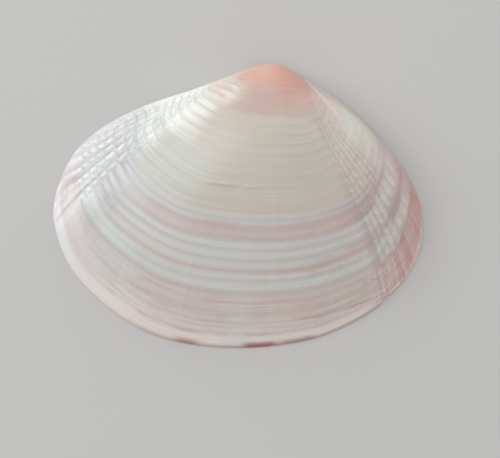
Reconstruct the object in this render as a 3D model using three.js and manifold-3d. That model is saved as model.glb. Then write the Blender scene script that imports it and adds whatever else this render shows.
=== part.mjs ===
import * as THREE from "three";
import { mergeVertices } from "three/addons/utils/BufferGeometryUtils.js";
import Module from "manifold-3d";

// One valve of a semele clam, the left one, lying on its rim with its outside up.
// Millimetres. +X runs along the hinge to the rear end, +Y up the valve to the beak and +Z out
// through the dome. The flat underside of the rim is Z = 0.

// Growth: a younger rim is the same outline made smaller and turned about the hinge line.
const hinge = new THREE.Vector2(2.9, 14.15);
const coilRate = 1.42; // how fast the height shrinks with the coil angle
const lengthRate = 0.62; // how fast the length starts to shrink
const lengthCurve = 0.98; // and how that quickens
const rearRate = 1.15; // the rear end shrinks this much faster
const rearReach = 6; // fully so from this far behind the beak
const youngAngle = 0.55; // coil angle past which the length shrinks evenly
const youngLengthRate = 1.4;
const beakDrift = 0.8; // the beak leans this far to the rear
const hookGap = 0.25; // and curls round the hinge line this far from it
const tipAngle = 2.6; // coil angle of the tip of the beak

// The rim seen from above: from the beak along the front, the belly and the rear back to the beak.
const rimOutline = [
  [2.9, 14],
  [0.2, 13.45],
  [-3.3, 12.6],
  [-7.8, 11.25],
  [-12.85, 8.9],
  [-15.45, 7.05],
  [-17.05, 4.6],
  [-18.05, 1.5],
  [-17.95, -1.6],
  [-16, -6],
  [-11.7, -10.1],
  [-6.95, -12.55],
  [0, -13.4],
  [7.1, -12.55],
  [12.1, -10.35],
  [14.35, -8.6],
  [16.6, -6.2],
  [17.95, -3.3],
  [18.1, -0.2],
  [17.1, 3],
  [14.65, 6.7],
  [12.1, 9.75],
  [9.1, 12.35],
  [5.9, 14],
];

// Radial ribs. Places on the rim are counted in outline points, and a rib shows between two
// stages of growth: the share of the valve's height that the younger rims there had.
const ribs = {
  front: { from: 4.4, to: 8.1, count: 6, height: 0.16, start: 0.22, end: 1.2 },
  rear: { from: 15, to: 16.12, count: 4, height: 0.12, start: 0.2, end: 1.2 },
  rearEnd: { from: 16.12, to: 18.4, count: 4, height: 0.2, start: 0.3, end: 0.88 },
};
const ribSoftness = 0.15; // share of the height over which a rib grows to full size
const plainStations = { frontSlope: 8, belly: 16, rearSlope: 10 };
const rearFold = { at: 14.8, width: 0.6, depth: 0.2, start: 0.4 };

// Growth ridges lie along younger rims, given by how far the height has shrunk there.
const firstRidge = 0.955;
const ridgeStep = 0.0317;
const ridgeCount = 14;
const ridgeHeight = 0.1;
const ridgeSections = [-0.12, 0.12, 0.5]; // rings of each ridge: in its groove and on its back
const ridgeLevels = [-0.7, 0.4, 0.5]; // shares of the ridge's height at those rings
const umboRings = 15; // smooth rings past the last ridge
const umboSpread = 1.15; // they lie a little closer together near it
const ridgeReach = 7; // ridges fade over this far from the hinge line
const ribReach = 2.5; // and ribs over this far

// Wall and hollow.
const rimWidth = 0.85;
const plateWidth = 1.75; // how much wider the rim is at the hinge
const plateReach = 3.2; // outline points over which the hinge plate narrows to the plain rim
const hollowHinge = 0.35; // gap from the plate's edge up to the line that the hollow turns about
const hollowFlatness = 0.875;
const hollowAngle = 1.25;
const hollowRings = 12;
const hollowStations = 48;
const cutMargin = 1; // cutters start this far below the rim
const mergeGap = 1e-4;

// Hinge teeth and the pit for the ligament, on a plate sunk below the rim.
const seat = { left: -1.2, right: 7.2, top: 13.35, bottom: 11, round: 0.9, depth: 0.8 };
const frontTooth = { x: 2.1, y: 12.55, length: 1.5, width: 0.55, turn: 100 };
const rearTooth = { x: 3.35, y: 12.6, length: 1.4, width: 0.4, turn: 70 };
const toothTop = 0.12;
const toothRoot = 1.4;
const toothTaper = 0.64; // width of a tooth's crest as a share of its root
const pit = { x: 5.15, y: 12.45, length: 2.9, width: 0.85, depth: 0.7, turn: -24 };

const shellColour = 0xe6d8cb;

const rimCurve = new THREE.CatmullRomCurve3(
  rimOutline.map(([x, y]) => new THREE.Vector3(x, y, 0)),
  true,
  "catmullrom",
  0.5,
);

const wasm = await Module();
wasm.setup();

// A point of the rim and the direction along it, at a place counted in outline points.
function rimAt(place) {
  const share = THREE.MathUtils.euclideanModulo(place / rimOutline.length, 1);
  return rimCurve.getPoint(share);
}

function rimInward(place) {
  const step = 0.01;
  const along = rimAt(place + step).sub(rimAt(place - step)).normalize();
  return new THREE.Vector3(-along.y, along.x, 0);
}

function heightShrink(angle) {
  return Math.exp(-coilRate * angle);
}

function lengthShrink(angle, behindBeak) {
  const grown = Math.min(angle, youngAngle);
  const rear = THREE.MathUtils.clamp(behindBeak / rearReach, 0, 1);
  const rate = THREE.MathUtils.lerp(1, rearRate, rear);
  const fall = rate * (lengthRate * grown + lengthCurve * grown ** 2);
  return Math.exp(-fall - youngLengthRate * (angle - grown));
}

// The smooth outer skin: a rim point carried back to the coil angle of a younger rim.
function skinPoint(place, angle) {
  const rim = rimAt(place);
  const height = heightShrink(angle);
  const reach = height * (hinge.y - rim.y) + hookGap * (1 - height);
  const behind = rim.x - hinge.x;
  return new THREE.Vector3(
    hinge.x + lengthShrink(angle, behind) * behind + beakDrift * (1 - Math.sqrt(height)),
    hinge.y - reach * Math.cos(angle),
    reach * Math.sin(angle),
  );
}

// The way out of the skin. At the rim itself it lies flat, so that the rim stays on Z = 0.
function skinNormal(place, angle) {
  const step = 0.02;
  const here = skinPoint(place, angle);
  const along = skinPoint(place + step, angle).sub(skinPoint(place - step, angle));
  const back = skinPoint(place, angle + step).sub(here);
  const normal = along.cross(back).normalize();
  normal.z *= Math.min(1, angle / step);
  return normal.normalize();
}

// A soft step from 0 to 1 over the softness past the start.
function rise(value, start, softness) {
  return THREE.MathUtils.smoothstep(value, start, start + softness);
}

// Radial ribs between two places on the rim: a wave that dies out at its sides and at the beak.
function ribRelief({ from, to, count, height, start, end }, place, growth) {
  const share = (place - from) / (to - from);
  if (share <= 0 || share >= 1) return 0;
  const wave = -Math.cos(2 * Math.PI * count * share);
  const side = Math.min(1, 2 * Math.sin(Math.PI * share));
  const young = rise(growth, start, ribSoftness);
  const old = rise(growth, end - ribSoftness, ribSoftness);
  return 0.5 * height * wave * side * young * (1 - old);
}

function foldRelief(place, growth) {
  const off = (place - rearFold.at) / rearFold.width;
  return -rearFold.depth * Math.exp(-(off ** 2)) * rise(growth, rearFold.start, 1 - rearFold.start);
}

// The relief dies out towards the hinge line, where the rings close up.
function relief(place, ring) {
  const growth = heightShrink(ring.angle);
  const reach = growth * (hinge.y - rimAt(place).y);
  const across = Object.values(ribs).reduce(
    (sum, group) => sum + ribRelief(group, place, growth),
    foldRelief(place, growth),
  );
  const ridge = ring.level * ridgeHeight * Math.min(1, reach / ridgeReach);
  return ridge + across * Math.min(1, reach / ribReach);
}

function angleAt(height) {
  return -Math.log(height) / coilRate;
}

// Rings from the rim to the tip of the beak, each with its coil angle and its level on a ridge.
function skinRings() {
  const rings = [{ angle: 0, level: 0 }];
  for (let ridge = 0; ridge < ridgeCount; ridge += 1) {
    ridgeSections.forEach((section, i) => {
      const height = firstRidge - ridgeStep * (ridge + section);
      rings.push({ angle: angleAt(height), level: ridgeLevels[i] });
    });
  }
  const last = rings[rings.length - 1].angle;
  for (let i = 1; i <= umboRings; i += 1) {
    const share = i / umboRings;
    rings.push({ angle: last + (tipAngle - last) * share ** umboSpread, level: 0 });
  }
  return rings;
}

function spread(from, to, count) {
  return Array.from({ length: count }, (_, i) => from + ((to - from) * i) / count);
}

function skinStations() {
  const end = rimOutline.length;
  return [
    ...spread(0, ribs.front.from, plainStations.frontSlope),
    ...spread(ribs.front.from, ribs.front.to, 2 * ribs.front.count),
    ...spread(ribs.front.to, ribs.rear.from, plainStations.belly),
    ...spread(ribs.rear.from, ribs.rear.to, 2 * ribs.rear.count),
    ...spread(ribs.rearEnd.from, ribs.rearEnd.to, 2 * ribs.rearEnd.count),
    ...spread(ribs.rearEnd.to, end, plainStations.rearSlope),
  ];
}

// A closed surface through a list of rings with equal numbers of points, capped at both ends.
function loft(rings) {
  const size = rings[0].length;
  const points = rings.flat();
  const index = [];
  for (let r = 0; r + 1 < rings.length; r += 1) {
    for (let s = 0; s < size; s += 1) {
      const next = (s + 1) % size;
      const a = r * size + s;
      const b = r * size + next;
      index.push(a, b, a + size, b, b + size, a + size);
    }
  }
  const caps = [rings[0], rings[rings.length - 1]];
  caps.forEach((ring, which) => {
    const centre = new THREE.Vector3();
    ring.forEach((p) => centre.addScaledVector(p, 1 / size));
    points.push(centre);
    const first = which * (rings.length - 1) * size;
    for (let s = 0; s < size; s += 1) {
      const next = (s + 1) % size;
      const turn = which ? [first + s, first + next] : [first + next, first + s];
      index.push(...turn, points.length - 1);
    }
  });
  const geometry = new THREE.BufferGeometry().setFromPoints(points);
  geometry.setIndex(index);
  return geometry;
}

function solidOf(geometry) {
  const plain = geometry.clone();
  plain.deleteAttribute("normal");
  plain.deleteAttribute("uv");
  const merged = mergeVertices(plain, mergeGap);
  return new wasm.Manifold(
    new wasm.Mesh({
      numProp: 3,
      vertProperties: new Float32Array(merged.attributes.position.array),
      triVerts: new Uint32Array(merged.index.array),
    }),
  );
}

function geometryOf(solid) {
  const mesh = solid.getMesh();
  const geometry = new THREE.BufferGeometry();
  geometry.setAttribute("position", new THREE.BufferAttribute(mesh.vertProperties, 3));
  geometry.setIndex(new THREE.BufferAttribute(mesh.triVerts, 1));
  geometry.computeVertexNormals();
  return geometry;
}

// The valve with its ridges and ribs, filled down to the plane of its rim.
function filledValve() {
  const stations = skinStations();
  const rings = skinRings().map((ring) =>
    stations.map((place) =>
      skinPoint(place, ring.angle).addScaledVector(
        skinNormal(place, ring.angle),
        relief(place, ring),
      ),
    ),
  );
  return loft(rings);
}

// The edge of the hollow: the rim moved inwards, and further at the hinge plate.
function hollowRim(place) {
  const end = rimOutline.length;
  const fromBeak = Math.min(place, end - place) / plateReach;
  const plate = plateWidth * Math.exp(-(fromBeak ** 2));
  return rimAt(place).addScaledVector(rimInward(place), rimWidth + plate);
}

// The hollow: the same growth as the skin, about a line under the hinge plate, and flatter.
function hollow() {
  const rim = spread(0, rimOutline.length, hollowStations).map(hollowRim);
  const top = Math.max(...rim.map((p) => p.y)) + hollowHinge;
  const rings = [rim.map((p) => new THREE.Vector3(p.x, p.y, -cutMargin))];
  for (let i = 0; i <= hollowRings; i += 1) {
    const angle = (hollowAngle * i) / hollowRings;
    const height = heightShrink(angle);
    rings.push(
      rim.map((p) => {
        const reach = height * (top - p.y);
        const behind = p.x - hinge.x;
        return new THREE.Vector3(
          hinge.x + lengthShrink(angle, behind) * behind,
          top - reach * Math.cos(angle),
          hollowFlatness * reach * Math.sin(angle),
        );
      }),
    );
  }
  return loft(rings);
}

// The sunk seat of the hinge plate: straight along the hollow and arched towards the beak.
function hingeSeat() {
  const { left, right, top, bottom, round, depth } = seat;
  const shape = new THREE.Shape();
  shape.moveTo(left, bottom);
  shape.lineTo(right, bottom);
  shape.lineTo(right, top - 2 * round);
  shape.quadraticCurveTo(right - round, top, hinge.x, top);
  shape.quadraticCurveTo(left + round, top - round, left, bottom);
  const geometry = new THREE.ExtrudeGeometry(shape, {
    depth: depth + cutMargin,
    bevelEnabled: false,
    curveSegments: 8,
  });
  return geometry.translate(0, 0, -cutMargin);
}

// A tooth: a narrow wedge that stands down from the plate.
function tooth({ x, y, length, width, turn }) {
  const height = toothRoot - toothTop;
  const geometry = new THREE.CylinderGeometry(0.5, 0.5 * toothTaper, 1, 12);
  geometry.rotateX(Math.PI / 2);
  geometry.scale(length, width, height);
  geometry.rotateZ(THREE.MathUtils.degToRad(turn));
  return geometry.translate(x, y, toothTop + height / 2);
}

function ligamentPit() {
  const geometry = new THREE.SphereGeometry(1, 18, 10);
  geometry.scale(pit.length / 2, pit.width / 2, pit.depth);
  geometry.rotateZ(THREE.MathUtils.degToRad(pit.turn));
  return geometry.translate(pit.x, pit.y, seat.depth);
}

function makeValve() {
  const solid = solidOf(filledValve())
    .subtract(solidOf(hollow()))
    .subtract(solidOf(hingeSeat()))
    .subtract(solidOf(ligamentPit()))
    .add(solidOf(tooth(frontTooth)))
    .add(solidOf(tooth(rearTooth)));
  const material = new THREE.MeshStandardMaterial({
    color: shellColour,
    roughness: 0.4,
    metalness: 0,
  });
  const valve = new THREE.Mesh(geometryOf(solid), material);
  valve.name = "valve";
  return valve;
}

// The origin is under the middle of the valve, on the plane of the rim.
function centre(mesh) {
  const box = new THREE.Box3().setFromObject(mesh);
  const middle = box.getCenter(new THREE.Vector3());
  mesh.position.set(-middle.x, -middle.y, 0);
}

const shell = new THREE.Group();
const valve = makeValve();
centre(valve);
shell.add(valve);

export default shell;
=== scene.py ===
import math

import bpy
import numpy as np
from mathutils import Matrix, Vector


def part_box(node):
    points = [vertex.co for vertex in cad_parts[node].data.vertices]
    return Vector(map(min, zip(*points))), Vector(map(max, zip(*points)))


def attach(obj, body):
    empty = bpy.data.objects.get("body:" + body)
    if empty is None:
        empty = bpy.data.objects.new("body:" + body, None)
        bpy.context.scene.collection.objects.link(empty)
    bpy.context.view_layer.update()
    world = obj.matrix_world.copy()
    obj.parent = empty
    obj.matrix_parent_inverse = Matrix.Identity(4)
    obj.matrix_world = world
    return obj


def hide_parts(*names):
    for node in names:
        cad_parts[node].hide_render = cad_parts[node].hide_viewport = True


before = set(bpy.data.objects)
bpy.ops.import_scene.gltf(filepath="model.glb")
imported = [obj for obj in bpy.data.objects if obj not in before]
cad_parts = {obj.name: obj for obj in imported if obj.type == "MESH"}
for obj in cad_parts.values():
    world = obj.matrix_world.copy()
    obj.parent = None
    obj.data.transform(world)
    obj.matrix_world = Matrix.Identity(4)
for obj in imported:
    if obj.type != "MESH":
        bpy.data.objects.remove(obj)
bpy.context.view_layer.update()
mm = 0.001

# The valve lies on its rim: +X is the rear end, +Y the beak, +Z out through the dome.
# Places on the rim are counted in outline points, from the beak along the front, the belly
# and the rear. Growth is the share of the valve's height that a younger rim had: 1 at the rim.

rimOutline = (
    (2.9, 14.0), (0.2, 13.45), (-3.3, 12.6), (-7.8, 11.25), (-12.85, 8.9), (-15.45, 7.05),
    (-17.05, 4.6), (-18.05, 1.5), (-17.95, -1.6), (-16.0, -6.0), (-11.7, -10.1), (-6.95, -12.55),
    (0.0, -13.4), (7.1, -12.55), (12.1, -10.35), (14.35, -8.6), (16.6, -6.2), (17.95, -3.3),
    (18.1, -0.2), (17.1, 3.0), (14.65, 6.7), (12.1, 9.75), (9.1, 12.35), (5.9, 14.0),
)
places = len(rimOutline)

growthLaw = {
    "hinge": (2.9, 14.15),
    "coilRate": 1.42,  # how fast the height shrinks with the coil angle
    "lengthRate": 0.62,  # how fast the length starts to shrink
    "lengthCurve": 0.98,  # and how that quickens
    "rearRate": 1.15,  # the rear end shrinks this much faster
    "rearReach": 6.0,  # and reaches that rate this far behind the hinge
    "youngAngle": 0.55,  # past this coil angle the length shrinks evenly
    "youngLengthRate": 1.4,
    "beakDrift": 0.8,  # how far the beak wanders toward the rear
    "hookGap": 0.25,  # how far past the hinge line each ring shrinks to
    "tipGrowth": 0.025,
}

skinMesh = {
    "steps": 2,  # mesh edges per outline piece
    "closer": ((4, 19), (6, 9), (15, 17)),  # outline points between which that doubles, and doubles again
    "lipRings": (1.0, 0.9975, 0.993, 0.985, 0.972),
    "ridgeRings": 23,
    "ridgeEnd": 0.56,
    "threadRings": 18,
    "threadEnd": 0.2,
    "beakRings": 7,
    "smoothing": 2,
    "smoothAngle": 50,
    "headroom": 0.045,  # left above the dome for the ribs
}


def setMode(mode):
    bpy.ops.object.mode_set(mode=mode)


def deselectAll():
    if bpy.context.object and bpy.context.object.mode != "OBJECT":
        setMode("OBJECT")
    bpy.ops.object.select_all(action="DESELECT")


def pick(piece):
    deselectAll()
    piece.select_set(True)
    bpy.context.view_layer.objects.active = piece


def editAll(piece):
    pick(piece)
    setMode("EDIT")
    bpy.ops.mesh.select_mode(type="VERT")
    bpy.ops.mesh.select_all(action="SELECT")


def editPoints(piece, indices):
    editAll(piece)
    bpy.ops.mesh.select_all(action="DESELECT")
    setMode("OBJECT")
    for index in indices:
        piece.data.vertices[int(index)].select = True
    setMode("EDIT")


def editEndFace(piece, side):
    # a flat end of a cutter or a tooth: side 1 is the upper one, -1 the lower one
    setMode("EDIT")
    bpy.ops.mesh.select_mode(type="FACE")
    bpy.ops.mesh.select_all(action="DESELECT")
    setMode("OBJECT")
    for face in piece.data.polygons:
        face.select = face.normal.z * side > 0.9
    setMode("EDIT")


def applyModifier(piece, name):
    pick(piece)
    bpy.ops.object.modifier_apply(modifier=name)


def coordsOf(piece):
    coords = np.empty(len(piece.data.vertices) * 3)
    piece.data.vertices.foreach_get("co", coords)
    return coords.reshape(-1, 3)


def setCoords(piece, coords):
    piece.data.vertices.foreach_set("co", np.ascontiguousarray(coords).ravel())
    piece.data.update()


def readField(piece, name):
    field = piece.data.attributes[name].data
    values = np.empty(len(field))
    field.foreach_get("value", values)
    return values


def writeField(piece, name, values):
    attributes = piece.data.attributes
    field = attributes.get(name) or attributes.new(name, "FLOAT", "POINT")
    field.data.foreach_set("value", np.ascontiguousarray(values, dtype=np.float32))


def smoothStep(value, start, end):
    t = np.clip((value - start) / (end - start), 0, 1)
    return t * t * (3 - 2 * t)


def between(value, rise, fall):
    return smoothStep(value, *rise) * (1 - smoothStep(value, *fall))


def bell(offset):
    return np.exp(-(offset**2))


def rimAt(place):
    knots = np.array(rimOutline)
    place = np.asarray(place, dtype=float) % places
    index = np.floor(place).astype(int)
    t = (place - index)[..., None]
    a, b, c, d = (knots[(index + step) % places] for step in (-1, 0, 1, 2))
    curve = 2 * b + (c - a) * t + (2 * a - 5 * b + 4 * c - d) * t**2 + (3 * b - a - 3 * c + d) * t**3
    return curve / 2


def rimInward(place):
    along = rimAt(place + 0.01) - rimAt(place - 0.01)
    along /= np.linalg.norm(along, axis=-1, keepdims=True)
    return np.stack([-along[..., 1], along[..., 0]], axis=-1)


def coilAngle(growth):
    return -math.log(growth) / growthLaw["coilRate"]


def lengthFall(angle):
    grown = min(angle, growthLaw["youngAngle"])
    return growthLaw["lengthRate"] * grown + growthLaw["lengthCurve"] * grown**2


def lengthShare(angle):
    grown = min(angle, growthLaw["youngAngle"])
    return math.exp(-lengthFall(angle) - growthLaw["youngLengthRate"] * (angle - grown))


def rearNarrowing(place, fall):
    rear = np.clip((rimAt(place)[:, 0] - growthLaw["hinge"][0]) / growthLaw["rearReach"], 0, 1)
    return np.exp(-(growthLaw["rearRate"] - 1) * rear * fall)


def skinRings():
    rings = list(skinMesh["lipRings"])
    rings += list(np.linspace(rings[-1], skinMesh["ridgeEnd"], skinMesh["ridgeRings"] + 1)[1:])
    rings += list(np.linspace(rings[-1], skinMesh["threadEnd"], skinMesh["threadRings"] + 1)[1:])
    rings += list(np.geomspace(rings[-1], growthLaw["tipGrowth"], skinMesh["beakRings"] + 1)[1:])
    return rings


def makeRimLoop():
    deselectAll()
    bpy.ops.curve.primitive_bezier_circle_add(radius=10 * mm)
    loop = bpy.context.object
    setMode("EDIT")
    bpy.ops.curve.select_all(action="SELECT")
    bpy.ops.curve.subdivide(number_cuts=places // 4 - 1)
    setMode("OBJECT")
    for index, knot in enumerate(loop.data.splines[0].bezier_points):
        around = [rimOutline[(index + step) % places] for step in (-1, 0, 1)]
        before, here, after = (Vector((*point, 0)) * mm for point in around)
        pull = (after - before) / 6
        knot.handle_left_type = knot.handle_right_type = "FREE"
        knot.co = here
        knot.handle_left = here - pull
        knot.handle_right = here + pull
    knotPlaces = list(range(places))
    for first, last in skinMesh["closer"]:
        for knot, place in zip(loop.data.splines[0].bezier_points, knotPlaces):
            chosen = first <= place <= last
            knot.select_control_point = knot.select_left_handle = knot.select_right_handle = chosen
        setMode("EDIT")
        bpy.ops.curve.subdivide(number_cuts=1)
        setMode("OBJECT")
        halfway = [(a + b) / 2 for a, b in zip(knotPlaces, knotPlaces[1:]) if first <= a and b <= last]
        knotPlaces = sorted(knotPlaces + halfway)
    steps = skinMesh["steps"]
    loop.data.splines[0].resolution_u = loop.data.resolution_u = steps
    bpy.ops.object.convert(target="MESH")
    loop = bpy.context.object
    loop.name = loop.data.name = "valveShell"
    stations = []
    for start, end in zip(knotPlaces, knotPlaces[1:] + [places]):
        stations += [start + (end - start) * step / steps for step in range(steps)]
    return loop, np.array(stations)


def extrudeRings(skin, rings):
    hinge = Vector((*growthLaw["hinge"], 0)) * mm
    editAll(skin)
    drifted = 0.0
    for older, younger in zip(rings, rings[1:]):
        oldAngle, newAngle = coilAngle(older), coilAngle(younger)
        hook = hinge + Vector((0, -math.cos(oldAngle), math.sin(oldAngle))) * growthLaw["hookGap"] * mm
        hook.x = hinge.x + drifted
        shorter = lengthShare(newAngle) / lengthShare(oldAngle)
        lower = younger / older
        drift = growthLaw["beakDrift"] * (1 - math.sqrt(younger)) * mm - drifted
        bpy.ops.mesh.extrude_edges_move()
        bpy.ops.transform.resize(value=(shorter, lower, lower), center_override=hook)
        bpy.ops.transform.translate(value=(drift, 0, 0))
        bpy.ops.transform.rotate(value=newAngle - oldAngle, orient_axis="X", center_override=hinge)
        drifted += drift
    setMode("OBJECT")


def growSkin():
    skin, stations = makeRimLoop()
    rings = skinRings()
    extrudeRings(skin, rings)

    # the rear end narrows faster than the front
    coords = coordsOf(skin)
    ringOf = np.repeat(np.arange(len(rings)), len(stations))
    placeOf = np.tile(stations, len(rings))
    growth = np.array(rings)[ringOf]
    falls = np.array([lengthFall(coilAngle(ring)) for ring in rings])[ringOf]
    middle = (growthLaw["hinge"][0] + growthLaw["beakDrift"] * (1 - np.sqrt(growth))) * mm
    coords[:, 0] = middle + (coords[:, 0] - middle) * rearNarrowing(placeOf, falls)
    setCoords(skin, coords)
    turn = placeOf * 2 * math.pi / places
    writeField(skin, "turnX", np.cos(turn))
    writeField(skin, "turnY", np.sin(turn))
    writeField(skin, "growth", growth)

    # the last ring closes as the tip of the beak
    editPoints(skin, range(len(coords) - len(stations), len(coords)))
    bpy.ops.mesh.extrude_edges_move()
    bpy.ops.mesh.merge(type="CENTER")
    setMode("OBJECT")
    smooth = skin.modifiers.new("smooth", "SUBSURF")
    smooth.levels = smooth.render_levels = skinMesh["smoothing"]
    applyModifier(skin, "smooth")
    print("skin grown:", len(skin.data.vertices), "points")
    return skin


def fitInFrame(skin):
    low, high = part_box("valve")
    coords = coordsOf(skin)
    shift = [(low[k] + high[k] - coords[:, k].min() - coords[:, k].max()) / 2 for k in range(2)]
    lower = high[2] / (coords[:, 2].max() + skinMesh["headroom"] * mm)
    editAll(skin)
    bpy.ops.transform.translate(value=(*shift, 0))
    bpy.ops.transform.resize(value=(1, 1, lower), center_override=(0, 0, 0))
    setMode("OBJECT")
    print("skin fitted in the frame, height times", round(float(lower), 4))
    return Vector((*shift, 0))


def placesOf(piece):
    turn = np.arctan2(readField(piece, "turnY"), readField(piece, "turnX"))
    return (turn * places / (2 * math.pi)) % places


# Age is growth corrected for the lines' own course: the growth lines and the bands follow it.
# A pair of numbers is a range over which something sets in, and a pair of pairs sets it in and
# ends it. Heights and depths are in mm.

sculpture = {
    # lines of rest: age, depth beside the deepest, width, and the places between which each shows
    "restLines": (
        (0.297, 0.5, 0.005, 9.5, 15.0), (0.568, 0.3, 0.005, 9.0, 16.0), (0.588, 0.3, 0.005, 9.0, 16.0),
        (0.609, 0.75, 0.006, 8.6, 16.1), (0.632, 0.6, 0.006, 8.1, 16.1), (0.668, 0.7, 0.007, 8.3, 16.1),
        (0.697, 0.8, 0.006, 8.3, 15.3), (0.727, 0.9, 0.006, 8.3, 15.3), (0.759, 0.8, 0.006, 8.3, 15.8),
        (0.787, 0.7, 0.006, 8.3, 15.2), (0.822, 0.8, 0.007, 8.2, 15.2), (0.850, 0.3, 0.005, 10.2, 16.0),
        (0.881, 0.35, 0.005, 10.2, 15.8), (0.913, 0.4, 0.005, 10.0, 15.8), (0.950, 0.4, 0.004, 10.4, 14.5),
        (0.575, 0.4, 0.006, 16.1, 18.6), (0.612, 0.5, 0.006, 16.1, 18.0), (0.643, 0.8, 0.008, 16.0, 17.4),
        (0.750, 0.5, 0.012, 16.1, 18.4), (0.836, 0.55, 0.007, 16.1, 18.6),
    ),
    "restDepth": 0.08,
    "restFade": 0.4,
    "troughWidth": 0.015,  # each line lies in a broader trough
    "troughShare": 0.4,
    # short dark nicks on the middle of the dome: places, growth, strength
    "nicks": ((11.0, 11.6, 0.52, 1.0), (11.88, 12.25, 0.524, 0.8)),
    "nickWidth": 0.0033,
    "nickFade": (0.08, 0.04),  # places outside and inside their ends
    # how far the lines lie off the growth law, place by place
    "lineDrift": (
        (0, -0.02), (6, -0.03), (8, -0.026), (11.5, 0), (14, 0.02), (15.3, 0.024), (16.5, 0.004),
        (17.3, 0.0), (18.2, 0.012), (20, 0.03), (24, -0.02),
    ),
    "driftAges": ((0.05, 0.3), (0.95, 1.0)),
    # by the hinge the lines run out over the margin
    "marginTurn": (
        (0, 0.5), (3, 0.47), (4, 0.4), (4.5, 0.33), (5, 0.25), (5.5, 0.17), (6, 0.1), (6.5, 0.05),
        (7, 0.02), (7.5, 0), (17.9, 0), (18.5, 0.05), (19, 0.1), (20, 0.2), (22, 0.35), (24, 0.5),
    ),
    "unevenness": 0.25,
    "fold": {"at": 14.8, "width": 0.6, "depth": 0.15, "ages": (0.3, 0.8)},
    "waves": 0.015,
    "hingeReach": 5,  # the relief fades this close to the hinge line
    "rimFade": (0.975, 0.993),
    # chips in the rim: place, width, depth
    "chips": ((15.0, 0.15, 0.16), (14.68, 0.16, -0.07)),
    "chipGrowth": (0.975, 1.0),
    # the rib feet darken as painted shade, and the rest lines darken partly by their own tint and partly as
    # painted shade
    "grooveShares": (0.6, 0.5),  # how dark rest lines and rib feet are beside threads
}

threads = {
    "start": 1.24,  # with the rate, sets how the spacing narrows toward the beak
    "rate": 0.0189,
    "depth": 0.07,
    "width": 0.13,
    "spread": 0.15,  # how much one thread differs from the next
    "waver": 0.1,
    "fade": (0.57, 0.66),
    "faded": 0.75,
    "youngFade": (0.1, 0.28),
    # a finer layer, weaker on the middle of the dome, with a belt on the dome and one at the rear
    "finerOften": 2.3,
    "finer": 0.3,
    "middle": ((9, 10.5), (14.8, 15.5)),
    "middleLoss": (0.15, 0.12),  # of the layer and of its belt on the dome
    "domeBelt": (0.5, 0.07, 0.4),  # age, width, strength
    "rearBelt": {"places": (12.5, 14), "ages": ((0.56, 0.62), (0.75, 0.8)), "strength": 0.5},
    # they are deepest over the front ribs and end there along a slanting, wavering edge
    "edge": {"at": 8.3, "waver": 0.25, "slant": 4.5, "slantAge": 0.6, "fade": (-0.4, 1.2)},
    "hingeFade": (4.5, 6),
    "share": (
        (0, 0.15), (5, 0.3), (9, 0.3), (10.8, 0.15), (12.2, 0.15), (13.2, 0.2), (15, 0.32),
        (16.5, 0.3), (17.3, 0.14), (20, 0.12), (24, 0.15),
    ),
}

frontRib = {
    "edge": 8.08,  # the rib nearest the belly
    "last": 4.6,  # and where they end by the hinge
    "spacing": 0.54,
    "height": 0.18,
    "lean": 0.9,
    "leanGain": 0.66,
    "leanFrom": 0.68,
    "leanMost": 0.3,
    "edgeFade": (-0.7, -0.2),
    "edgeLoss": 0.25,  # the rib nearest the belly is this much lower
    "starts": (((0.18, 0.32), 0.6), ((0.54, 0.64), 0.4)),
    "rimFade": (0.8, 0.88),
    "rimLoss": 0.45,
    "climb": (0.0, 0.8),
    "drop": (0.82, 1.0),
    # the foot is a dark line of painted shade below each step
    "foot": (0.06, 0.1),  # width of the dark foot, and how much wider it is when young
    "footAges": (0.42, 0.6),
    "backFoot": 0.7,
    "footShare": 0.7,
    "twist": (0.56, 0.66),
    "beading": 0.95,
    "beadFade": (0.8, 0.84),
    "beadLoss": 0.85,
    "beadSharpness": 0.8,
    "gapFrom": (0.1, 0.4),
}

rearRib = {
    "furrows": (15.03, 15.28, 15.54, 15.82, 16.15, 16.55, 17.0, 17.5, 18.1),
    "height": 0.12,
    "lean": 0.7,
    "leanFrom": 0.7,
    "rows": ((0.69, 0.03, 1.0), (0.808, 0.026, 0.4), (0.6, 0.02, 0.25)),  # age, width, strength
    "broad": (16.05, 16.35),  # from here the beads stand in broad rows
    "narrowBeads": (0.15, 0.3, 0.55),  # even part, part by row, part by thread
    "broadBeads": (0.6, 0.4),  # even part, part by thread
    "grown": (0.62, 0.68),
    "worn": (0.84, 0.92),
    "wear": 0.55,
    "start": (-0.15, 0.2),  # beside the first furrow
    "end": (17.2, 18.4),
    "columns": {  # rows of small beads on the younger part
        "places": ((14.7, 15.2), (16.4, 17.2)), "ages": ((0.2, 0.4), (0.6, 0.68)),
        "spacing": 0.3, "height": 0.65, "beading": 0.6,
    },
    "restLoss": 0.35,
}

lip = {
    "height": 0.16,
    "rise": 0.004,
    "fade": (0.01, 0.07),
    "foot": 0.35,
    "footFade": (0.0, 0.02),
    "hingeReach": 4,
    "frontShare": 0.4,
    "belly": (8.6, 10.6),
}


def crest(q, sharpness):
    return np.abs(np.sin(np.pi * q)) ** sharpness


def curveOf(pairs, place):
    knots, values = zip(*pairs)
    fine = np.linspace(0, places, 40 * places + 1)
    rough = np.interp(fine, knots, values)
    soft = np.hanning(41)
    smooth = np.convolve(np.pad(rough, 20, mode="edge"), soft / soft.sum(), mode="valid")
    return np.interp(place, fine, smooth)


def ageOf(place, growth):
    drift = curveOf(sculpture["lineDrift"], place) * between(growth, *sculpture["driftAges"])
    return growth - curveOf(sculpture["marginTurn"], place) * growth**2 - drift


def restGrooves(place, age):
    depth = np.zeros_like(age)
    trough, share, fade = (sculpture[name] for name in ("troughWidth", "troughShare", "restFade"))
    for at, strength, width, first, last in sculpture["restLines"]:
        shown = between(place, (first - fade, first + fade), (last - fade, last + fade))
        line = (1 - share) * bell((age - at) / width) + share * bell((age - at) / trough)
        depth = np.maximum(depth, strength * shown * line)
    return depth


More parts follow.
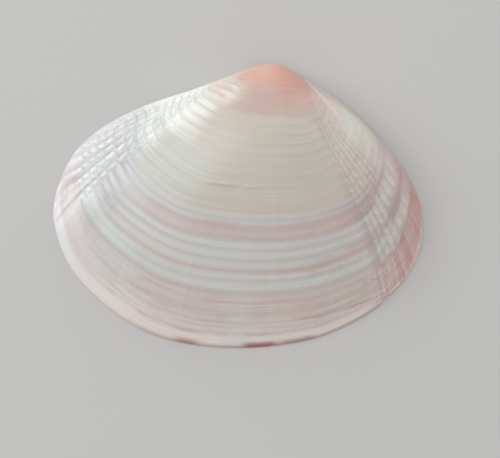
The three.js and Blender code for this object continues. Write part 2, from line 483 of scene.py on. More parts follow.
def nickDepth(place, growth):
    depth = np.zeros_like(growth)
    outer, inner = sculpture["nickFade"]
    for first, last, at, strength in sculpture["nicks"]:
        shown = between(place, (first - outer, first + inner), (last - inner, last + outer))
        depth = np.maximum(depth, strength * shown * bell((growth - at) / sculpture["nickWidth"]))
    return depth


def threadCount(age):
    return np.log(np.clip(age, 0, None) + threads["start"]) / threads["rate"]


def unevenness(place, age):
    # two waves that keep any bead from being like the next
    waves = np.sin(7.3 * place + 9 * age + 2) + np.sin(41 * age + 1.7 * place)
    return 1 + sculpture["unevenness"] * waves


def growthThreads(place, age):
    # flat steps parted by narrow furrows, each of its own strength
    coarse = 1 - threads["faded"] * smoothStep(age, *threads["fade"])
    middle = between(place, *threads["middle"])
    layerLoss, beltLoss = threads["middleLoss"]
    at, width, strength = threads["domeBelt"]
    belt = threads["rearBelt"]
    finer = (threads["finer"] - layerLoss * middle) * coarse
    finer += (strength - beltLoss * middle) * bell((age - at) / width)
    finer += belt["strength"] * smoothStep(place, *belt["places"]) * between(age, *belt["ages"])
    furrow = 0
    for often, strength in ((1, coarse), (threads["finerOften"], finer)):
        count = often * threadCount(age) + threads["waver"] * np.sin(2.3 * place + 5 * often)
        nearest = np.round(count)
        strength = strength * (1 + threads["spread"] * (np.sin(2.9 * nearest + 0.9 * place) - 1))
        furrow = furrow + strength * bell((count - nearest) / (threads["width"] * often))
    edge = threads["edge"]
    past = place + edge["slant"] * (age - edge["slantAge"]) - edge["at"] - edge["waver"] * np.sin(37 * age)
    share = (1 - smoothStep(past, *edge["fade"])) * smoothStep(place, *threads["hingeFade"])
    share = np.maximum(share, curveOf(threads["share"], place)) * smoothStep(age, *threads["youngFade"])
    return furrow * share * unevenness(place / 2, age / 2)


def frontRibs(place, growth, age):
    rib = frontRib
    # toward the rim the ribs lean away from the belly, and more so near the hinge
    past = np.clip(growth - rib["leanFrom"], 0, rib["leanMost"])
    upright = place + (rib["lean"] + rib["leanGain"] * rib["edge"]) * past
    q = (rib["edge"] - upright / (1 + rib["leanGain"] * past)) / rib["spacing"]
    across = q - np.floor(q)
    first = rib["edgeLoss"] * (q < 1)
    zone = smoothStep(place, rib["last"], rib["last"] + 1) * smoothStep(q, *rib["edgeFade"])
    zone *= sum(share * smoothStep(age, *start) for start, share in rib["starts"])
    zone *= (1 - first) * (1 - (rib["rimLoss"] + first) * smoothStep(age, *rib["rimFade"]))
    # each rib climbs gently from its belly side and drops off steeply on its hinge side
    swell = between(across, rib["climb"], rib["drop"])
    narrow, wider = rib["foot"]
    wide = narrow + wider * (1 - smoothStep(age, *rib["footAges"]))
    # the dark foot below each step and the gaps between beads are painted shade for the colour
    foot = bell((1 - across) / wide) + bell(across / (rib["backFoot"] * wide))
    # the threads twist across the ribs as beads
    strands = crest(threadCount(age) - across * smoothStep(growth, *rib["twist"]), rib["beadSharpness"])
    worn = 1 - rib["beadLoss"] * smoothStep(age, *rib["beadFade"])
    beads = 1 - (1 - strands) * rib["beading"] * worn
    gap = (1 - beads) ** 1.6 * smoothStep(across, *rib["gapFrom"])
    return swell * zone * beads * unevenness(place, age), np.maximum(rib["footShare"] * foot, gap) * zone


def rearRibs(place, age, rests):
    rib = rearRib
    furrows = rib["furrows"]
    start, end = (furrows[0] + step for step in rib["start"])
    leant = place - rib["lean"] * (age - rib["leanFrom"])
    q = np.interp(leant, furrows, np.arange(len(furrows)))
    broad = smoothStep(place, *rib["broad"])
    rows = sum(share * bell((age - at) / width) for at, width, share in rib["rows"])
    strands = crest(threadCount(age) + 0.4 * np.sin(5.7 * np.floor(q)) + 0.25 * np.sin(9 * place), 1.8)
    grown = smoothStep(age, *rib["grown"]) - rib["wear"] * smoothStep(age, *rib["worn"])
    even, byRow, byThread = rib["narrowBeads"]
    knots = (1 - broad) * grown * (even + byRow * rows + byThread * strands)
    even, byThread = rib["broadBeads"]
    knots += broad * rows * (even + byThread * strands)
    knots *= between(place, (start, end), rib["end"])
    columns = rib["columns"]
    young = between(place, *columns["places"]) * between(age, *columns["ages"])
    young *= 1 - columns["beading"] * (1 - strands)
    swell = crest(q, 1.0) * (1 - broad) + crest(q, 0.9) * broad
    column = columns["height"] * young * crest((leant - furrows[0]) / columns["spacing"], 1.0)
    return (swell * knots + column) * (1 - rib["restLoss"] * rests) * unevenness(1.3 * place, age)


def softLip(place, growth, reach):
    below = 1 - growth
    height = (1 - np.exp(-below / lip["rise"])) * (1 - smoothStep(below, *lip["fade"]))
    height += lip["foot"] * (1 - smoothStep(below, *lip["footFade"]))
    height = lip["height"] * np.clip(height, 0, 1) * np.clip(reach / lip["hingeReach"], 0, 1)
    front = lip["frontShare"]
    return height * (front + (1 - front) * smoothStep(place, *lip["belly"]))


def chipDepth(place):
    return sum(depth * bell((place - at) / width) for at, width, depth in sculpture["chips"])


def pushSkin(skin, name, height, direction, sign):
    group = skin.vertex_groups.new(name=name)
    most = float(height.max())
    for index in np.nonzero(height > 1e-5)[0]:
        group.add([int(index)], float(height[index]) / most, "REPLACE")
    push = skin.modifiers.new(name, "DISPLACE")
    push.direction = direction
    push.mid_level = 0
    push.strength = sign * most * mm
    push.vertex_group = name
    applyModifier(skin, name)
    skin.vertex_groups.remove(skin.vertex_groups[name])


def carveSkin(skin):
    place, growth = placesOf(skin), readField(skin, "growth")
    age = ageOf(place, growth)
    writeField(skin, "age", age)
    reach = (growthLaw["hinge"][1] - rimAt(place)[:, 1]) * growth
    shown = np.clip(reach / sculpture["hingeReach"], 0, 1) * (1 - smoothStep(growth, *sculpture["rimFade"]))

    rests = np.maximum(restGrooves(place, age), nickDepth(place, growth))
    furrows = growthThreads(place, age)
    front, foot = frontRibs(place, growth, age)
    rear = rearRibs(place, age, rests)
    fold = sculpture["fold"]
    dip = fold["depth"] * bell((place - fold["at"]) / fold["width"]) * smoothStep(age, *fold["ages"])
    waves = np.sin(place * 2.1 + 4 * age) * np.sin(age * 23 + place * 0.7) + np.sin(place * 1.3 - age * 11)
    relief = frontRib["height"] * front + rearRib["height"] * rear
    relief -= threads["depth"] * furrows + sculpture["restDepth"] * rests + dip
    relief = (relief + sculpture["waves"] * waves) * shown
    # the colour is darkened in the grooves: painted shade in the rib feet, the bead gaps and the thread
    # furrows, and in the rest lines partly their own tint and partly painted shade
    restShare, footShare = sculpture["grooveShares"]
    grooves = np.maximum(np.maximum(restShare * rests, footShare * foot), furrows)
    writeField(skin, "groove", np.clip(grooves * shown, 0, 1))
    writeField(skin, "bead", np.clip(np.maximum(front, rear) * shown, 0, 1))

    coords = coordsOf(skin)
    chipped = chipDepth(place) * smoothStep(growth, *sculpture["chipGrowth"]) * mm
    coords[:, :2] += rimInward(place) * chipped[:, None]
    setCoords(skin, coords)
    pushSkin(skin, "raised", np.clip(relief, 0, None), "NORMAL", 1)
    pushSkin(skin, "sunk", np.clip(-relief, 0, None), "NORMAL", -1)
    pushSkin(skin, "lip", softLip(place, growth, reach), "Z", 1)
    print("sculpture carved, from", round(float(relief.min()), 3), "to", round(float(relief.max()), 3), "mm")


inside = {
    "footWidths": (0.1, 0.28),
    "rimWidth": 0.85,
    "plateWidth": 1.75,  # how much wider the hinge plate is
    "plateReach": 3.2,
    "brow": 0.12,
    "browSteps": ((1.6, 0), (0.4, 0.35), (0, 1)),  # inset and height of its rounding, beside the brow
    "hollowHinge": 0.35,
    "hollowFlatness": 0.875,
    "hollowAngle": 1.95,
    "hollowRings": 20,
    "closing": 3,
}


def marginWidth(place):
    fromBeak = np.minimum(place, places - place) / inside["plateReach"]
    return inside["rimWidth"] + inside["plateWidth"] * bell(fromBeak)


def insetOutline(place, share):
    inward = marginWidth(place) * share + chipDepth(place) * (1 - share)
    return rimAt(place) + rimInward(place) * inward[..., None]


def makeUnderside(shell, shift):
    count = len(shell.data.vertices)
    editAll(shell)
    bpy.ops.mesh.select_all(action="DESELECT")
    bpy.ops.mesh.select_non_manifold()
    setMode("OBJECT")
    ring = np.array([v.index for v in shell.data.vertices if v.select])
    place = placesOf(shell)[ring]
    size = len(ring)
    full = marginWidth(place)
    brow = inside["brow"]
    loops = [(width / full, 0.0) for width in inside["footWidths"]]
    loops += [(1 - inset * brow / full, rise * brow) for inset, rise in inside["browSteps"]]
    for share, height in loops:
        editPoints(shell, ring)
        bpy.ops.mesh.select_mode(type="EDGE")
        bpy.ops.mesh.extrude_edges_move()
        setMode("OBJECT")
        coords = coordsOf(shell)
        coords[-size:, :2] = insetOutline(place, share) * mm + np.array(shift[:2])
        coords[-size:, 2] = height * mm
        setCoords(shell, coords)
        ring = range(len(coords) - size, len(coords))
    print("lip and plate:", len(shell.data.vertices) - count, "points")
    return count, place


def growHollow(shell, place, shift):
    size = len(place)
    coords = coordsOf(shell)
    start = len(coords)
    hinge = Vector((*growthLaw["hinge"], 0)) * mm + shift
    top = coords[-size:, 1].max() + inside["hollowHinge"] * mm
    centre = Vector((hinge.x, top, inside["brow"] * mm))
    angles = np.linspace(0, inside["hollowAngle"], inside["hollowRings"] + 1)
    setMode("EDIT")
    for before, after in zip(angles, angles[1:]):
        shorter = lengthShare(after) / lengthShare(before)
        lower = math.exp(-growthLaw["coilRate"] * (after - before))
        bpy.ops.mesh.extrude_edges_move()
        bpy.ops.transform.resize(value=(shorter, lower, lower), center_override=centre)
        bpy.ops.transform.rotate(value=after - before, orient_axis="X", center_override=centre)
    setMode("OBJECT")
    coords = coordsOf(shell)
    growth = np.ones(len(coords))
    for ring, angle in enumerate(angles[1:]):
        block = slice(start + ring * size, start + (ring + 1) * size)
        coords[block, 0] = hinge.x + (coords[block, 0] - hinge.x) * rearNarrowing(place, lengthFall(angle))
        coords[block, 2] = centre.z + (coords[block, 2] - centre.z) * inside["hollowFlatness"]
        growth[block] = math.exp(-growthLaw["coilRate"] * angle)
    setCoords(shell, coords)

    # the last ring shrinks to its middle and closes
    setMode("EDIT")
    last = Vector(coords[-size:].mean(axis=0))
    for left in range(inside["closing"], 0, -1):
        bpy.ops.mesh.extrude_edges_move()
        bpy.ops.transform.resize(value=((left - 0.5) / left,) * 3, center_override=last)
    bpy.ops.mesh.extrude_edges_move()
    bpy.ops.mesh.merge(type="CENTER")
    bpy.ops.mesh.select_all(action="SELECT")
    bpy.ops.mesh.normals_make_consistent(inside=False)
    setMode("OBJECT")
    print("hollow grown:", len(shell.data.vertices) - start, "points")
    return growth


def mapGrowth(shell, outerCount, hollowGrowth):
    # the map holds place and age outside, place and growth inside
    place = placesOf(shell)
    isInside = np.arange(len(place)) >= outerCount
    growth = np.zeros(len(place))
    growth[: len(hollowGrowth)] = hollowGrowth
    value = np.where(isInside, growth, readField(shell, "age"))
    mesh = shell.data
    layer = mesh.uv_layers.new(name="growthMap")
    corners = np.empty(len(mesh.loops), dtype=np.int64)
    mesh.loops.foreach_get("vertex_index", corners)
    starts = np.empty(len(mesh.polygons), dtype=np.int64)
    mesh.polygons.foreach_get("loop_start", starts)
    # a face that spans the beak counts on past the last place
    u = place[corners]
    spread = np.maximum.reduceat(u, starts) - np.minimum.reduceat(u, starts)
    over = np.repeat(spread > places / 2, np.diff(np.append(starts, len(u))))
    u = np.where(over & (u < places / 2), u + places, u)
    uv = np.stack([u / places, value[corners]], axis=1)
    layer.data.foreach_set("uv", uv.astype(np.float32).ravel())
    insideFace = np.minimum.reduceat(isInside[corners].astype(int), starts)
    mesh.polygons.foreach_set("material_index", insideFace.astype(np.int32))
    mesh.update()
    print("growth mapped:", int(insideFace.sum()), "faces inside")


hingeParts = {
    "seat": {
        "left": -1.2, "right": 7.2, "top": 13.35, "bottom": 11.0, "depth": 0.8,
        "cornerRound": 1.6, "edgeRound": 0.3,
    },
    "teeth": (
        {"x": 2.1, "y": 12.55, "length": 1.5, "width": 0.55, "turn": 100},
        {"x": 3.35, "y": 12.6, "length": 1.4, "width": 0.4, "turn": 70},
    ),
    # the teeth point down: their tops are the lower ends
    "toothTop": 0.12,
    "toothRoot": 1.4,
    "toothTaper": 0.64,
    "toothRound": 0.12,  # as a share of the tooth's length and width
    "pit": {"x": 5.15, "y": 12.45, "length": 2.9, "width": 0.85, "depth": 0.7, "turn": -24},
}


def settle(piece):
    pick(piece)
    bpy.ops.object.transform_apply(location=True, rotation=True, scale=True)


def setDown(piece, part, size, height, shift):
    piece.scale = Vector(size) * mm
    piece.rotation_euler.z = math.radians(part["turn"])
    piece.location = Vector((part["x"], part["y"], height)) * mm + shift


def join(shell, cutter, operation):
    cut = shell.modifiers.new("hinge", "BOOLEAN")
    cut.operation = operation
    cut.solver = "EXACT"
    cut.material_mode = "TRANSFER"
    cut.object = cutter
    applyModifier(shell, "hinge")
    bpy.data.objects.remove(cutter)


def makeSeat(shift):
    seat = hingeParts["seat"]
    left, right, top, bottom = (seat[side] for side in ("left", "right", "top", "bottom"))
    deselectAll()
    bpy.ops.mesh.primitive_cube_add(size=1)
    cutter = bpy.context.object
    cutter.scale = Vector((right - left, top - bottom, 2 * seat["depth"])) * mm
    cutter.location = Vector(((right + left) / 2, (top + bottom) / 2, 0)) * mm + shift
    settle(cutter)
    setMode("EDIT")
    bpy.ops.mesh.select_mode(type="EDGE")
    bpy.ops.mesh.select_all(action="DESELECT")
    setMode("OBJECT")
    # the two upright edges toward the beak
    middle = coordsOf(cutter)[:, 1].mean()
    for edge in cutter.data.edges:
        a, b = (cutter.data.vertices[i].co for i in edge.vertices)
        edge.select = (a - b).xy.length < 1e-6 and a.y > middle
    setMode("EDIT")
    bpy.ops.mesh.bevel(offset=seat["cornerRound"] * mm, segments=8, affect="EDGES")
    editEndFace(cutter, 1)
    bpy.ops.mesh.bevel(offset=seat["edgeRound"] * mm, segments=5, affect="EDGES")
    setMode("OBJECT")
    return cutter


def makeTooth(tooth, shift):
    top, root, taper = (hingeParts[name] for name in ("toothTop", "toothRoot", "toothTaper"))
    deselectAll()
    bpy.ops.mesh.primitive_cylinder_add(vertices=32, radius=0.5, depth=1)
    made = bpy.context.object
    setDown(made, tooth, (tooth["length"], tooth["width"], root - top), (root + top) / 2, shift)
    editEndFace(made, -1)
    bpy.ops.transform.resize(value=(taper, taper, 1))
    bpy.ops.mesh.bevel(offset=hingeParts["toothRound"], segments=4, affect="EDGES")
    setMode("OBJECT")
    settle(made)
    return made


def makePit(shift):
    pit = hingeParts["pit"]
    deselectAll()
    bpy.ops.mesh.primitive_uv_sphere_add(segments=40, ring_count=20, radius=1)
    made = bpy.context.object
    size = (pit["length"] / 2, pit["width"] / 2, pit["depth"])
    setDown(made, pit, size, hingeParts["seat"]["depth"], shift)
    settle(made)
    return made


def fitHinge(shell, insideSkin, shift):
    cutters = [(makeSeat(shift), "DIFFERENCE"), (makePit(shift), "DIFFERENCE")]
    cutters += [(makeTooth(tooth, shift), "UNION") for tooth in hingeParts["teeth"]]
    for cutter, operation in cutters:
        cutter.data.materials.append(insideSkin)
        join(shell, cutter, operation)
    print("hinge fitted:", len(shell.data.polygons), "faces")


def paint(red, green, blue):
    def linear(value):
        value /= 255
        return value / 12.92 if value <= 0.04045 else ((value + 0.055) / 1.055) ** 2.4

    return (linear(red), linear(green), linear(blue), 1)


colours = {
    "coral": (217, 174, 158), "deepCoral": (211, 148, 135), "greyPink": (200, 174, 164),
    "cream": (200, 192, 180), "palePink": (226, 208, 200), "creamMint": (229, 235, 227),
    "frostMint": (196, 203, 201), "frostLilac": (204, 200, 200), "frostPink": (205, 199, 199),
    "lilac": (198, 181, 178), "blueWhite": (205, 206, 201), "softPink": (206, 192, 187),
    "bone": (211, 203, 195), "sand": (199, 190, 176), "sage": (192, 195, 180),
    "highlightWhite": (243, 245, 245), "sheenMint": (244, 248, 243), "litSlopePink": (250, 226, 217),
    "lipLilac": (219, 217, 218), "beadMint": (209, 209, 203), "straw": (208, 199, 183),
    "shadowGrey": (158, 161, 160), "milk": (216, 211, 200), "blushSand": (225, 206, 197),
    "milkLilac": (224, 221, 224), "peach": (201, 183, 172), "tan": (202, 176, 160),
    "lipWhite": (226, 216, 210), "rose": (200, 160, 156), "redRose": (190, 132, 132),
    "plum": (166, 140, 140), "rust": (192, 118, 98), "fleckAndShadowRed": (150, 74, 78),
    "pearl": (236, 232, 226), "blush": (234, 212, 198), "scar": (214, 204, 194),
}
palette = {name: paint(*colour) for name, colour in colours.items()}

# bands of colour on the middle and toward either end, each with the ages of its stops
midBands = (
    ("coral", 0, 0.17), ("greyPink", 0.225, 0.285), ("cream", 0.315, 0.59), ("blueWhite", 0.61),
    ("lilac", 0.63, 0.665), ("blueWhite", 0.682, 0.745), ("softPink", 0.762),
    ("blueWhite", 0.775, 0.808), ("softPink", 0.83, 0.95), ("lipWhite", 0.966, 1),
)
# the front's pale mint stop at ages 0.31 to 0.5 is partly its own tint and partly painted sheen
frontBands = (
    ("coral", 0, 0.09), ("palePink", 0.19, 0.25), ("creamMint", 0.31, 0.42, 0.5),
    ("frostMint", 0.56, 0.6), ("frostLilac", 0.625), ("frostMint", 0.66, 0.71),
    ("frostLilac", 0.73), ("frostMint", 0.76, 0.81), ("frostPink", 0.84, 0.95),
    ("lipLilac", 0.97, 1),
)
rearBands = (
    ("coral", 0, 0.17), ("greyPink", 0.22), ("blushSand", 0.3, 0.35), ("milk", 0.4, 0.48),
    ("sand", 0.54), ("bone", 0.57), ("lilac", 0.6, 0.652), ("bone", 0.665, 0.72),
    ("lilac", 0.745, 0.765), ("bone", 0.785, 0.83), ("rose", 0.86, 0.96), ("softPink", 0.98),
    ("lipWhite", 1),
)

# In the tables below a zone is start, end and softness.
# small areas of their own colour: zone of places, zone of ages, share, and the slant of a few
patches = (
    ("deepCoral", (12.6, 18.5, 0.8), (0.02, 0.24, 0.06), 0.6),
    ("lilac", (18.7, 22, 0.5), (-1, 2, 0.1), 0.5),
    # painted sheen and painted light: a pale mint sheen on the front slope below the beak, lighter toward
    # the left edge where the light falls
    ("sheenMint", (1, 7, 0.7), (0.27, 0.46, 0.04), 0.8),
    ("milkLilac", (2, 6.2, 0.6), (0.54, 0.97, 0.05), 0.8),
    # painted shade: grey bands on the front slope by the last rib, where it faces away from the light
    ("shadowGrey", (8.1, 9.1, 0.4), (0.6, 0.75, 0.02), 0.42),
    ("shadowGrey", (8.1, 9.1, 0.4), (0.7, 0.76, 0.01), 0.25),
    ("shadowGrey", (7.2, 9.1, 0.4), (0.8, 0.87, 0.02), 0.35),
    ("creamMint", (9.1, 9.9, 0.3), (0.775, 0.815, 0.01), 0.5),
    # painted shade: a grey band on the same slope nearer the beak
    ("shadowGrey", (7.2, 9.1, 0.4), (0.455, 0.5, 0.02), 0.35),
    # painted sheen: the front's pale mint carried on toward the middle of the dome
    ("creamMint", (8.9, 9.8, 0.4), (0.3, 0.44, 0.03), 0.5),
    ("sage", (8.8, 11, 0.4), (0.45, 0.6, 0.02), 0.5),
    ("frostMint", (9.2, 10.4, 0.4), (0.77, 0.95, 0.02), 0.5),
    ("frostMint", (9.2, 10.8, 0.5), (0.44, 0.63, 0.03), 0.35),
    ("frostMint", (8.8, 9.9, 0.4), (0.6, 0.665, 0.015), 0.5),
    # painted light: paler pink where the light from the right falls on the rear slope below the beak
    ("litSlopePink", (17.3, 20, 0.5), (0.2, 0.42, 0.04), 0.75),
    # painted light: the same paler pink where the light from the left falls on the front slope below the
    # beak
    ("litSlopePink", (1, 8.4, 0.7), (0.13, 0.25, 0.03), 0.5),
    # painted highlight: a bright line along the lip at the front end
    ("highlightWhite", (5, 6.9, 0.4), (0.955, 0.99, 0.01), 0.35),
    ("creamMint", (8.8, 10.8, 0.8), (0.2, 0.29, 0.03), 0.4),
    ("rose", (17.6, 19.5, 0.4), (0.72, 0.85, 0.03), 0.35),
    ("rose", (14.6, 16.1, 0.4), (0.95, 0.985, 0.01), 0.7),
    ("rose", (14.4, 15.3, 0.3), (0.89, 0.93, 0.015), 0.35),
    ("peach", (12, 16, 0.8), (0.755, 0.77, 0.008), 0.6),
    ("deepCoral", (17, 20, 0.6), (0.1, 0.2, 0.04), 0.65),
    ("peach", (12.1, 14.6, 0.3), (0.85, 0.96, 0.02), 0.45),
    ("redRose", (17.1, 17.45, 0.15), (0.915, 0.96, 0.015), 0.6),
    ("bone", (16.6, 18.4, 0.4), (0.585, 0.64, 0.01), 0.4),
    ("redRose", (17.5, 19, 0.4), (0.66, 0.86, 0.05), 0.3),
    ("plum", (16.2, 16.95, 0.2), (0.755, 0.78, 0.01), 0.3),
    ("lipWhite", (9, 13, 0.5), (0.905, 0.955, 0.015), 0.45),
    ("milk", (15, 17.4, 0.4), (0.79, 0.85, 0.01), 0.35),
    ("milk", (17.6, 20, 0.4), (0.42, 0.6, 0.04), 0.8),
    ("creamMint", (17.8, 20, 0.5), (0.41, 0.53, 0.04), 0.4),
    ("lipWhite", (15.6, 15.68, 0.07), (0.86, 0.96, 0.02), 0.3),
    ("lipWhite", (15.88, 15.95, 0.07), (0.86, 0.97, 0.02), 0.4),
    ("lipWhite", (16.05, 16.12, 0.05), (0.86, 0.97, 0.02), 0.35),
    ("rose", (7.05, 7.4, 0.12), (0.82, 0.91, 0.02), 0.5),
    ("plum", (14.2, 16.1, 0.5), (0.64, 0.67, 0.015), 0.65),
    ("plum", (14, 15.2, 0.3), (0.735, 0.75, 0.006), 0.2),
    # painted shade: a darker arc beside the fold, where the relief lies in shade
    ("plum", (13.8, 15.0, 0.4), (0.605, 0.685, 0.02), 0.3),
    ("tan", (12, 16.8, 0.5), (0.635, 0.665, 0.012), 0.35),
    ("redRose", (17.6, 19.6, 0.4), (0.825, 0.87, 0.015), 0.3),
    ("peach", (12, 14.8, 0.5), (0.635, 0.665, 0.01), 0.4),
    ("greyPink", (13.8, 17, 0.6), (0.28, 0.345, 0.015), 0.3),
    ("tan", (10.3, 10.6, 0.12), (0.953, 0.963, 0.006), 0.5),
    ("tan", (11.1, 11.45, 0.12), (0.951, 0.96, 0.005), 0.8),
    ("tan", (11.7, 11.85, 0.06), (0.951, 0.96, 0.005), 0.6),
    ("tan", (12.1, 12.4, 0.1), (0.95, 0.958, 0.005), 0.7),
    ("rust", (17.85, 18.35, 0.12), (-2.035, -2.01, 0.015), 0.5, 0.16),
    ("plum", (12.9, 15.2, 0.3), (0.665, 0.673, 0.004), 0.5, 0.019),
    ("lipWhite", (12.9, 15.4, 0.3), (0.678, 0.686, 0.004), 0.4, 0.019),
)

# Marks are colour, share, what they show by, and their zones. What they show by is added up, each
# with the values at which it starts and is full. Zones are multiplied, and so is a bare name.
bandMarks = (
    ("peach", 1.0, (), (("blotch",), ("place", 12.6, 18, 1.0), ("bandAge", 0.745, 0.805, 0.012))),
    ("blueWhite", 0.3, (("Clouds", 0.62, 0.4),), (("place", 8, 16, 0.8), ("bandAge", 0.6, 0.69, 0.01))),
)
# pale rays, then streaks along the growth lines and veils over the rear end
streakMarks = (
    ("lipWhite", 0.9, (("Rays", 0.5, 1.5),), (("age", 0.6, 1.2, 0.2),)),
    ("blueWhite", 0.45, (), (("place", 11.8, 12.2, 0.2), ("age", 0.7, 1.2, 0.08))),
    ("lipWhite", 0.38, (("Lines", 0.45, 0.7),), (("blotch",), ("age", 0.84, 0.955, 0.01))),
    ("rose", 0.32, (("Dashes", 0.52, 0.68),), (("age", 0.84, 0.965, 0.01), ("place", 9.5, 15, 0.5))),
    ("lilac", 0.75, (("Lines", 0.46, 0.62),), (("age", 0.575, 0.765, 0.012), ("place", 12.6, 17.6, 0.6))),
    ("lipWhite", 0.42, (("Rays", 0.5, 0.64),), (("outerRear",), ("place", 14.6, 16.4, 0.3))),
    ("redRose", 0.3, (("Rays", 0.54, 0.36), ("Dashes", 0.5, 0.66)), (("outerRear",),)),
)
# darker between the rear beads, partly their own plum and partly painted shade, and paler on top of all
# beads; on the front bead tops the white is partly their own pale colour and partly a painted highlight
latticeZone = (("place", 14.9, 17.6, 0.3), ("bandAge", 0.66, 0.86, 0.012))
columnZone = (("place", 14.9, 16.9, 0.4), ("bandAge", 0.32, 0.655, 0.05))
beadMarks = (
    ("plum", 1.0, (("bead", 0.4, -0.6),), latticeZone),
    ("plum", 1.0, (("bead", 0.38, -0.62),), columnZone),
    ("straw", 0.8, (("bead", 0, 1),), columnZone),
    ("beadMint", 0.8, (("bead", 0.15, 1.06),), latticeZone),
    # painted highlight on the front bead tops, over their own paleness
    ("highlightWhite", 0.9, (("bead", 0.15, 1.06),), (("place", 4, 8.3, 0.1),)),
)
# the very edge is red: a faint red line along the belly is a painted shadow under the lip's edge, and three
# spots are the shell's own red
edgeMarks = [("fleckAndShadowRed", 0.3, (), (("age", 0.992, 1.2, 0.004), ("place", 10.3, 15.2, 0.5)))]
for first, last, share in ((11.15, 11.45, 0.55), (12.08, 12.5, 0.8), (12.55, 13.05, 0.45)):
    edgeMarks.append(("fleckAndShadowRed", share, (), (("age", 0.985, 1.2, 0.008), ("place", first, last, 0.09))))

outsideFinish = {
    "wander": (("Clouds", 0.02), ("Rays", 0.006)),  # how far noise moves the bands
    "blotch": (0.4, 0.62),
    "front": ((-2, 9.2, 1.1), (23, 30, 0.6)),  # zones where the front bands show
    "rear": (15.8, 21.5, 0.8),
    "outerRear": ((14.6, 19, 0.5), (0.85, 1.2, 0.02)),
    "lineShades": (0.3, 0.7, 0.955, 1.045),  # a range of the fine lines, and the shades at its ends
    "scales": (0.6, (4.5, 8.7, 0.4), (0.2, 0.66, 0.06)),
    # how dark the painted shade in the grooves is
    "grooveShare": 0.5,
    "shadowGreyGrooves": (3, 9, 0.6),
    "youngFront": ((3, 8.8, 0.5), (0, 0.6, 0.05)),  # the grooves are fainter here
    "youngLoss": 0.2,
    "roughness": (0.28, 0.4),
    "bumps": (("Lines", 0.6), ("Rays", 0.4)),
    "bump": 0.35,
}

insideFinish = {
    # scars, as ovals: x, y, half width, half height in mm
    "front": (-12.0, 2.4, 1.5, 2.9),
    "rear": (12.4, 3.8, 2.2, 1.9),
    "bay": (8.3, -1.3, 8.6, 4.3),
    "bayEdge": (0.965, 1.035, 0.02),
    "softness": 0.08,
    "lineAt": (0.765, 0.785, 0.006),
    "linePlaces": (6.8, 14.9, 0.3),
    "lineShare": 0.7,
    "share": 0.5,
    "waver": 0.25,
    "blush": (0.9, 0.2),  # growth at which the warmer tone starts and is full
    "clouds": (0.2, 0.4),  # their share in that tone and in the bump
    "roughness": (0.24, 0.14),
    "bump": 0.3,
}


def addNode(tree, kind, inputs=None, **settings):
    node = tree.nodes.new(kind)
    for name, value in settings.items():
        setattr(node, name, value)
    for key, value in (inputs or {}).items():
        if isinstance(value, bpy.types.NodeSocket):
            tree.links.new(value, node.inputs[key])
        else:
            node.inputs[key].default_value = value
    return node


def maths(tree, operation, a, b=0.0):
    return addNode(tree, "ShaderNodeMath", {0: a, 1: b}, operation=operation).outputs[0]


def times(tree, first, *others):
    for other in others:
        first = maths(tree, "MULTIPLY", first, other)
    return first


def remap(tree, value, low, high, least=0.0, most=1.0):
    inputs = {"Value": value, 1: low, 2: high, 3: least, 4: most}
    return addNode(tree, "ShaderNodeMapRange", inputs).outputs[0]


def centred(tree, value, strength):
    return times(tree, maths(tree, "SUBTRACT", value, 0.5), strength)


def vectors(tree, operation, a, b):
    return addNode(tree, "ShaderNodeVectorMath", {0: a, 1: b}, operation=operation).outputs[0]


def shade(tree, colour, share):
    inputs = {0: colour, "Scale": share}
    return addNode(tree, "ShaderNodeVectorMath", inputs, operation="SCALE").outputs[0]


def mixPaint(tree, share, a, b):
    return addNode(tree, "ShaderNodeMix", {0: share, 6: a, 7: b}, data_type="RGBA").outputs[2]


def bands(tree, value, rows):
    node = addNode(tree, "ShaderNodeValToRGB", {0: value})
    elements = node.color_ramp.elements
    stops = [(at, palette[name]) for name, *ages in rows for at in ages]
    while len(elements) < len(stops):
        elements.new(1)
    for element, (at, colour) in zip(elements, stops):
        element.position = at
    for element, (at, colour) in zip(elements, stops):
        element.color = colour
    return node.outputs[0]


def makeGroup(name, inputs, outputs):
    group = bpy.data.node_groups.new(name, "ShaderNodeTree")
    for label, value in inputs:
        socket = group.interface.new_socket(label, in_out="INPUT", socket_type="NodeSocketFloat")
        socket.default_value = value
    for label in outputs:
        group.interface.new_socket(label, in_out="OUTPUT", socket_type="NodeSocketFloat")
    return group, group.nodes.new("NodeGroupInput"), group.nodes.new("NodeGroupOutput")


def makeSoftBand():
    inputs = (("Value", 0.5), ("From", 0.0), ("To", 1.0), ("Softness", 0.02))
    group, given, result = makeGroup("softBand", inputs, ("Mask",))
    value, start, end, softness = given.outputs[:4]
    steps = []
    for edge in (start, end):
        low, high = maths(group, "SUBTRACT", edge, softness), maths(group, "ADD", edge, softness)
        ramp = {"Value": value, 1: low, 2: high}
        step = addNode(group, "ShaderNodeMapRange", ramp, interpolation_type="SMOOTHSTEP")
        steps.append(step.outputs[0])
    past = maths(group, "SUBTRACT", 1.0, steps[1])
    group.links.new(times(group, steps[0], past), result.inputs["Mask"])


shellNoises = (
    # output, scale by place, scale by age, detail
    ("Lines", 0.35, 210, 3), ("Rays", 5.5, 1.6, 4), ("Clouds", 0.9, 9, 3), ("Dashes", 1.5, 70, 2),
    ("Scales", 9, 75, 2),
)


